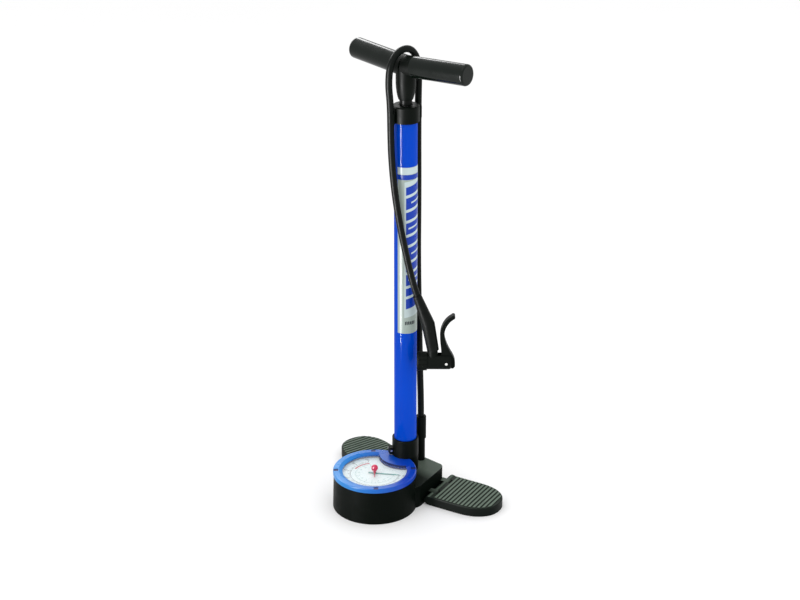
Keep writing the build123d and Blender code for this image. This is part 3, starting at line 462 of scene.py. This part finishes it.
def valve_coil():
    """The check valve's spring, which gives way when the ball lifts."""
    low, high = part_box("valve_spring")
    radius = (high[0] - low[0]) / 2 - COIL_WIRE
    middle = (low[2] + high[2]) / 2
    start, stop = low[1] + COIL_WIRE, high[1] - COIL_WIRE
    turns = (stop - start) / COIL_PITCH
    steps = int(turns * COIL_STEPS)
    line = []
    for step in range(steps + 1):
        share = step / steps
        turn = 2 * math.pi * turns * share
        line.append(Vector((
            radius * math.cos(turn),
            start + (stop - start) * share,
            middle + radius * math.sin(turn),
        )))
    piece = new_piece(
        "valve_coil",
        lambda made: tube_along(made, line, lambda share: COIL_WIRE, 8),
        MATERIALS["steel"],
        None,
    )
    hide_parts("valve_spring")
    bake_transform(piece)


# ---- Gauge face --------------------------------------------------------------------------

NEEDLE_REST = 33.0      # direction of the scale's zero, in degrees from +X
SCALE_SWEEP = 246.0     # the scale runs clockwise over this angle
DIAL_PRINT_Z = DIAL_TOP + PRINT_LIFT
OUTER_TOP = 160         # highest value on the outer scale
OUTER_LINE = 0.0345     # radius of its line; its ticks point outwards
OUTER_NUMBERS = 0.0415
INNER_TOP = 11
INNER_LINE = 0.0275     # radius of the inner scale's line; its ticks point inwards
INNER_NUMBERS = 0.0222
FINE_LINE = 0.0003
HIGH_BAND = (0.0296, 0.0322)
HIGH_BAND_FROM = 0.8    # share of the scale where the band starts
HIGH_BAND_STEPS = 24


def on_dial(radius, angle):
    """A point on the dial's face."""
    turn = math.radians(angle)
    return Vector((radius * math.cos(turn), DRUM_Y + radius * math.sin(turn), DIAL_PRINT_Z))


def tick(made, inner, outer, angle, width):
    """One radial line of a scale."""
    turn = math.radians(angle + 90)
    across = Vector((math.cos(turn), math.sin(turn), 0)) * (width / 2)
    near, far = on_dial(inner, angle), on_dial(outer, angle)
    flat_face(made, (near - across, far - across, far + across, near + across))


def arc_patch(made, inner, outer, ends):
    """A piece of an arc between two radii and two angles."""
    flat_face(made, (
        on_dial(inner, ends[0]), on_dial(outer, ends[0]),
        on_dial(outer, ends[1]), on_dial(inner, ends[1]),
    ))


def arc_line(made, radius, width, steps=96):
    """A thin arc along the whole scale."""
    for step in range(steps):
        ends = [NEEDLE_REST - SCALE_SWEEP * (step + more) / steps for more in (0, 1)]
        arc_patch(made, radius - width / 2, radius + width / 2, ends)


def number(made, text, size, radius, angle):
    """A number on the dial, upright for someone who stands behind the pump."""
    data = bpy.data.curves.new("number", "FONT")
    data.body = text
    data.size = size
    data.align_x = "CENTER"
    data.align_y = "CENTER"
    data.resolution_u = 3
    mesh = curve_mesh(data)
    mesh.transform(Matrix.Translation(on_dial(radius, angle)) @ Matrix.Rotation(math.pi, 4, "Z"))
    made.from_mesh(mesh)
    bpy.data.meshes.remove(mesh)


def scale_angle(value, top):
    """Direction of a value on a scale that ends at top."""
    return NEEDLE_REST - SCALE_SWEEP * value / top


def outer_scale(made):
    """Outer scale: a tick at every 2, longer at every 10, and a number at every 20."""
    arc_line(made, OUTER_LINE, FINE_LINE)
    for value in range(0, OUTER_TOP + 1, 2):
        long = value % 10 == 0
        tip, width = (0.0385, 0.00055) if long else (0.0365, FINE_LINE)
        tick(made, OUTER_LINE, tip, scale_angle(value, OUTER_TOP), width)
    for value in range(0, OUTER_TOP + 1, 20):
        number(made, str(value), 0.0052, OUTER_NUMBERS, scale_angle(value, OUTER_TOP))


def inner_scale(made):
    """Inner scale: a tick at every half, and a longer one and a number at every unit."""
    arc_line(made, INNER_LINE, FINE_LINE)
    for half in range(2 * INNER_TOP + 1):
        long = half % 2 == 0
        tip, width = (0.0250, 0.0005) if long else (0.0260, FINE_LINE)
        tick(made, tip, INNER_LINE, scale_angle(half / 2, INNER_TOP), width)
    for value in range(0, INNER_TOP + 1):
        number(made, str(value), 0.0040, INNER_NUMBERS, scale_angle(value, INNER_TOP))


def high_band(made):
    """Wide band along the scale's upper end."""
    for step in range(HIGH_BAND_STEPS):
        ends = []
        for more in (0, 1):
            share = HIGH_BAND_FROM + (1 - HIGH_BAND_FROM) * (step + more) / HIGH_BAND_STEPS
            ends.append(scale_angle(OUTER_TOP * share, OUTER_TOP))
        arc_patch(made, *HIGH_BAND, ends)


def gauge_face():
    """Print on the dial."""
    new_piece("dial_outer_scale", outer_scale, INK_GREY, "base")
    new_piece("dial_inner_scale", inner_scale, INK_TEAL, "base")
    new_piece("dial_high_band", high_band, INK_RED, "base")


NOTCH_RADIUS = DRUM_RADIUS - 0.0041     # middle of a notch, from the drum's axis
NOTCH_PAD = (0.0064, 0.0063, 0.0008)
NOTCH_PAD_Z = BEZEL_HIGH[2] - 0.0011


def bezel_notches():
    """Painted shade: dark pads in the bezel's four notches."""
    def pads(made):
        for corner in range(4):
            turn = math.radians(45 + 90 * corner)
            pad = bmesh.ops.create_cube(made, size=1)["verts"]
            place = Matrix.Translation((
                NOTCH_RADIUS * math.cos(turn),
                DRUM_Y + NOTCH_RADIUS * math.sin(turn),
                NOTCH_PAD_Z,
            ))
            shape = place @ Matrix.Rotation(turn, 4, "Z") @ Matrix.Diagonal((*NOTCH_PAD, 1))
            bmesh.ops.transform(made, matrix=shape, verts=pad)

    new_piece("bezel_notch_shade_pads", pads, SHADE_BLUE, "base")


WALL_RADIUS = 0.0381    # of the arc about the barrel that cuts the bezel's window off
WALL_HALF_ANGLE = 43.0  # of that arc, to each side of the front
WALL_STEPS = 40


def window_wall():
    """Painted shade: a dark skin on the bezel's wall along that arc, below the lens and above it.
    """
    lens_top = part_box("gauge_lens")[1][2]
    bands = (
        (DIAL_TOP + 0.0001, lens_top - 0.0017),
        (lens_top + 0.0001, BEZEL_HIGH[2] - 0.0003),
    )

    def walls(made):
        for low, high in bands:
            row = []
            for step in range(WALL_STEPS + 1):
                share = step / WALL_STEPS
                turn = math.radians(-90 - WALL_HALF_ANGLE + 2 * WALL_HALF_ANGLE * share)
                x, y = WALL_RADIUS * math.cos(turn), WALL_RADIUS * math.sin(turn)
                row.append((made.verts.new((x, y, low)), made.verts.new((x, y, high))))
            for (a, b), (c, d) in zip(row, row[1:]):
                made.faces.new((a, c, d, b))

    new_piece("bezel_window_shade_wall", walls, SHADE_BLUE, "base")


# ---- Barrel label ------------------------------------------------------------------------

LABEL_RADIUS = BARREL_RADIUS + 0.00015
LABEL_LIFT = 0.00012    # thickness of one layer of ink
LABEL_EDGE = 89.5       # half the label's width round the barrel, in degrees from +X
BAR_START, BAR_STOP = -46, 56
BAR_SLANT = 0.008       # rise of a bar from its one end to the other
BAR_GAP = 0.0042
BARS_DROP = 0.0285      # from the label's top to the first bar
SLIT_HALF = 0.0012
# Height of each bar down the label, and the slit across it from one angle to another
BARS = (
    (0.0115, None), (0.0165, (-20, 40)), (0.0115, None), (0.0165, (-34, 22)), (0.0115, None),
    (0.0195, (-20, 40)), (0.0115, None), (0.0165, (-34, 30)), (0.0115, None), (0.0150, None),
)


def wrapped(made, start, stop, bottom, top, slant=0.0, lift=LABEL_LIFT, steps=36):
    """A patch of ink round the barrel between two angles; slant raises its far side."""
    radius = LABEL_RADIUS + lift
    rows = []
    for step in range(steps + 1):
        share = step / steps
        turn = math.radians(start + (stop - start) * share)
        x, y = radius * math.cos(turn), radius * math.sin(turn)
        rise = slant * share
        rows.append((made.verts.new((x, y, bottom + rise)), made.verts.new((x, y, top + rise))))
    for (low, high), (next_low, next_high) in zip(rows, rows[1:]):
        face = made.faces.new((low, next_low, next_high, high))
        face.smooth = True


def label_ground(made):
    """White band across the label's top and white ground behind the stripes."""
    top = LABEL_HIGH[2]
    wrapped(made, -LABEL_EDGE, LABEL_EDGE, top - 0.010, top - 0.0003)
    wrapped(made, -54, 62, LABEL_LOW[2] + 0.024, top - 0.021, 0.006)


def label_stripes(made):
    """A blue line under the white band and a column of slanted blue bars."""
    top = LABEL_HIGH[2]
    wrapped(made, -LABEL_EDGE, LABEL_EDGE, top - 0.0175, top - 0.0105, lift=2 * LABEL_LIFT)
    high = top - BARS_DROP
    for height, _ in BARS:
        wrapped(made, BAR_START, BAR_STOP, high - height, high, BAR_SLANT, lift=2 * LABEL_LIFT)
        high -= height + BAR_GAP


def label_slits(made):
    """White slits that run part of the way across some of the bars."""
    slope = BAR_SLANT / (BAR_STOP - BAR_START)
    high = LABEL_HIGH[2] - BARS_DROP
    for height, slit in BARS:
        if slit:
            start, stop = slit
            middle = high - height / 2 + slope * (start - BAR_START)
            wrapped(
                made, start, stop, middle - SLIT_HALF, middle + SLIT_HALF,
                slope * (stop - start), lift=3 * LABEL_LIFT,
            )
        high -= height + BAR_GAP


def label_marks(made):
    """Small dashes near the label's foot."""
    low = LABEL_LOW[2] + 0.013
    for index in range(5):
        start = -50 + 11 * index
        wrapped(made, start, start + 8, low, low + 0.005, 0.001, steps=3)


def barrel_print():
    """The label's generic pattern."""
    new_piece("label_ground", label_ground, INK_WHITE, "base")
    new_piece("label_stripes", label_stripes, INK_BLUE, "base")
    new_piece("label_slits", label_slits, INK_WHITE, "base")
    new_piece("label_marks", label_marks, INK_GREY, "base")


# ---- Stage -------------------------------------------------------------------------------

CAMERA_AZIMUTH = math.radians(42.15)
CAMERA_PITCH = math.radians(23.57)
CAMERA_YAW = math.radians(0.19)
CAMERA_DISTANCE = 2.321
CAMERA_HEIGHT = 1.310
CAMERA_LENS = 81.7
FLOOR_HALF = 6
WORLD_STRENGTH = 1.02


def camera():
    """Camera above and to the right of the gauge, looking down at the pump."""
    data = bpy.data.cameras.new("camera")
    data.lens = CAMERA_LENS
    data.sensor_width = 36
    item = bpy.data.objects.new("camera", data)
    item.location = (
        math.sin(CAMERA_AZIMUTH) * CAMERA_DISTANCE,
        -math.cos(CAMERA_AZIMUTH) * CAMERA_DISTANCE,
        CAMERA_HEIGHT,
    )
    item.rotation_euler = (math.pi / 2 - CAMERA_PITCH, 0, CAMERA_AZIMUTH + CAMERA_YAW)
    bpy.context.scene.collection.objects.link(item)
    bpy.context.scene.camera = item


def softbox(name, azimuth, distance, height, size, power, aim=(0, 0, 0.3), gloss_only=False):
    """A rectangular light, placed by its angle to the left of the camera's direction.

    With gloss_only it shows in reflections and adds nothing else.
    """
    data = bpy.data.lights.new(name, "AREA")
    data.shape = "RECTANGLE"
    data.size, data.size_y = size
    data.energy = power
    item = bpy.data.objects.new(name, data)
    turn = CAMERA_AZIMUTH - math.radians(azimuth)
    item.location = (math.sin(turn) * distance, -math.cos(turn) * distance, height)
    item.rotation_euler = (Vector(aim) - item.location).to_track_quat("-Z", "Y").to_euler()
    item.visible_diffuse = not gloss_only
    item.visible_camera = False
    bpy.context.scene.collection.objects.link(item)


def stage():
    """Plain pale floor and soft studio light."""
    mesh = bpy.data.meshes.new("floor")
    made = bmesh.new()
    bmesh.ops.create_grid(made, x_segments=1, y_segments=1, size=FLOOR_HALF)
    made.to_mesh(mesh)
    made.free()
    floor = bpy.data.objects.new("floor", mesh)
    bpy.context.scene.collection.objects.link(floor)
    paper = Surface("floor_paper", (0.955, 0.955, 0.955), 0.85)
    paper.vary_colour(paper.remap(paper.noise(2, 2), 0.0, 1.0), (0.945, 0.945, 0.945))
    mesh.materials.append(paper.material)

    world = bpy.data.worlds.new("studio")
    world.use_nodes = True
    background = world.node_tree.nodes["Background"]
    background.inputs["Color"].default_value = (1, 1, 1, 1)
    background.inputs["Strength"].default_value = WORLD_STRENGTH
    bpy.context.scene.world = world
    bpy.context.scene.view_settings.view_transform = "Standard"

    softbox("overhead", 0, 0.3, 2.6, (2.2, 2.2), 11)
    softbox("left_strip", 47, 0.5, 0.33, (0.065, 0.64), 14, (0, 0, 0.33), True)
    softbox("back_strip", 150, 1.7, 1.5, (1.8, 0.5), 32, (0, 0, 0.4), True)


# ---- Assembly ----------------------------------------------------------------------------

camera()
stage()
finish_frame()
hose()
valve_coil()
gauge_face()
bezel_notches()
window_wall()
barrel_print()
